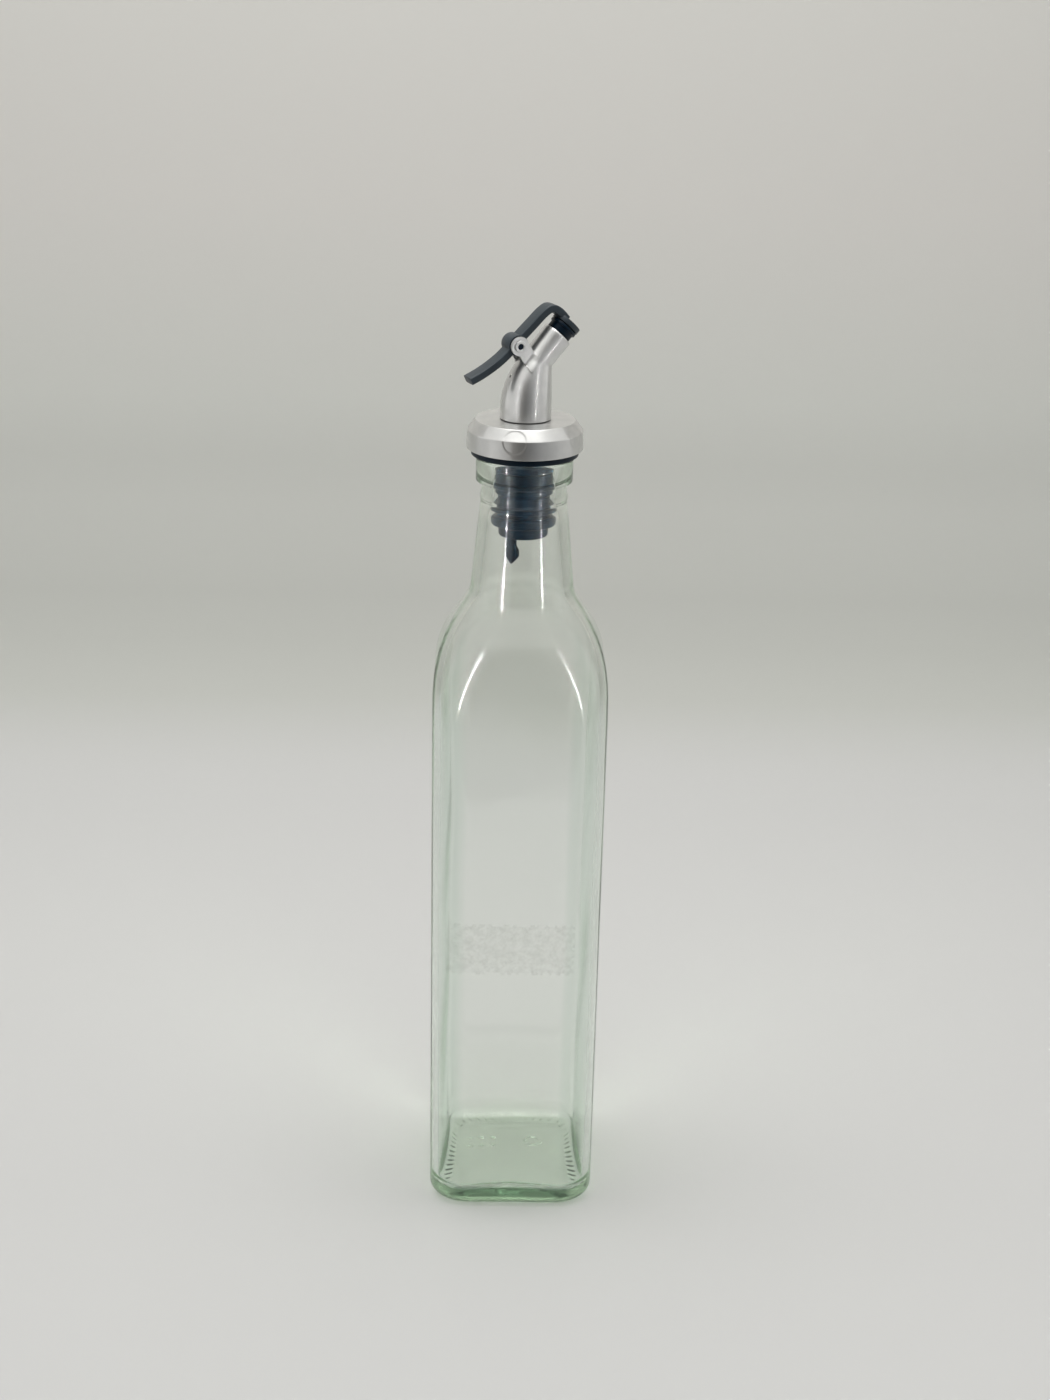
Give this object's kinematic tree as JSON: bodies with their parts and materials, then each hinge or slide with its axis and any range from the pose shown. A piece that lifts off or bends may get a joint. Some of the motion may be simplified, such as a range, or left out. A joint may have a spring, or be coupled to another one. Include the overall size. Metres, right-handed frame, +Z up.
{
  "type": "oil bottle with lever pourer",
  "caption": "Tall square glass oil bottle, empty, with a round neck, a rubber stopper, a steel collar and leaning spout, and a lever whose cap closes the mouth.",
  "frame": {"origin": "centre of the bottle's base, on the surface it stands on", "axes": "+Z up along the neck; X and Y across the square body, -Y towards the picture's camera; the spout leans 24 degrees from +X towards +Y"},
  "size_m": [0.0576, 0.0576, 0.3134],
  "materials": {
    "glass": "clear with a faint green tint",
    "rubber": "satin",
    "steel": "brushed",
    "plastic": "satin"
  },
  "bodies": {
    "bottle": {"bottle_glass": "glass", "stopper": "rubber", "air_tail": "rubber", "collar": "steel", "spout": "steel", "ear_near": "steel", "ear_far": "steel", "pin": "steel"},
    "lever": {"lever": "plastic", "seal": "rubber"}
  },
  "joints": [
    {"name": "lever_pivot", "type": "hinge", "parent": "bottle", "child": "lever", "pos_m": [-0.00379, -0.00169, 0.3015], "axis": [0.4067, -0.9135, 0], "range_deg": [0, 35]}
  ]
}
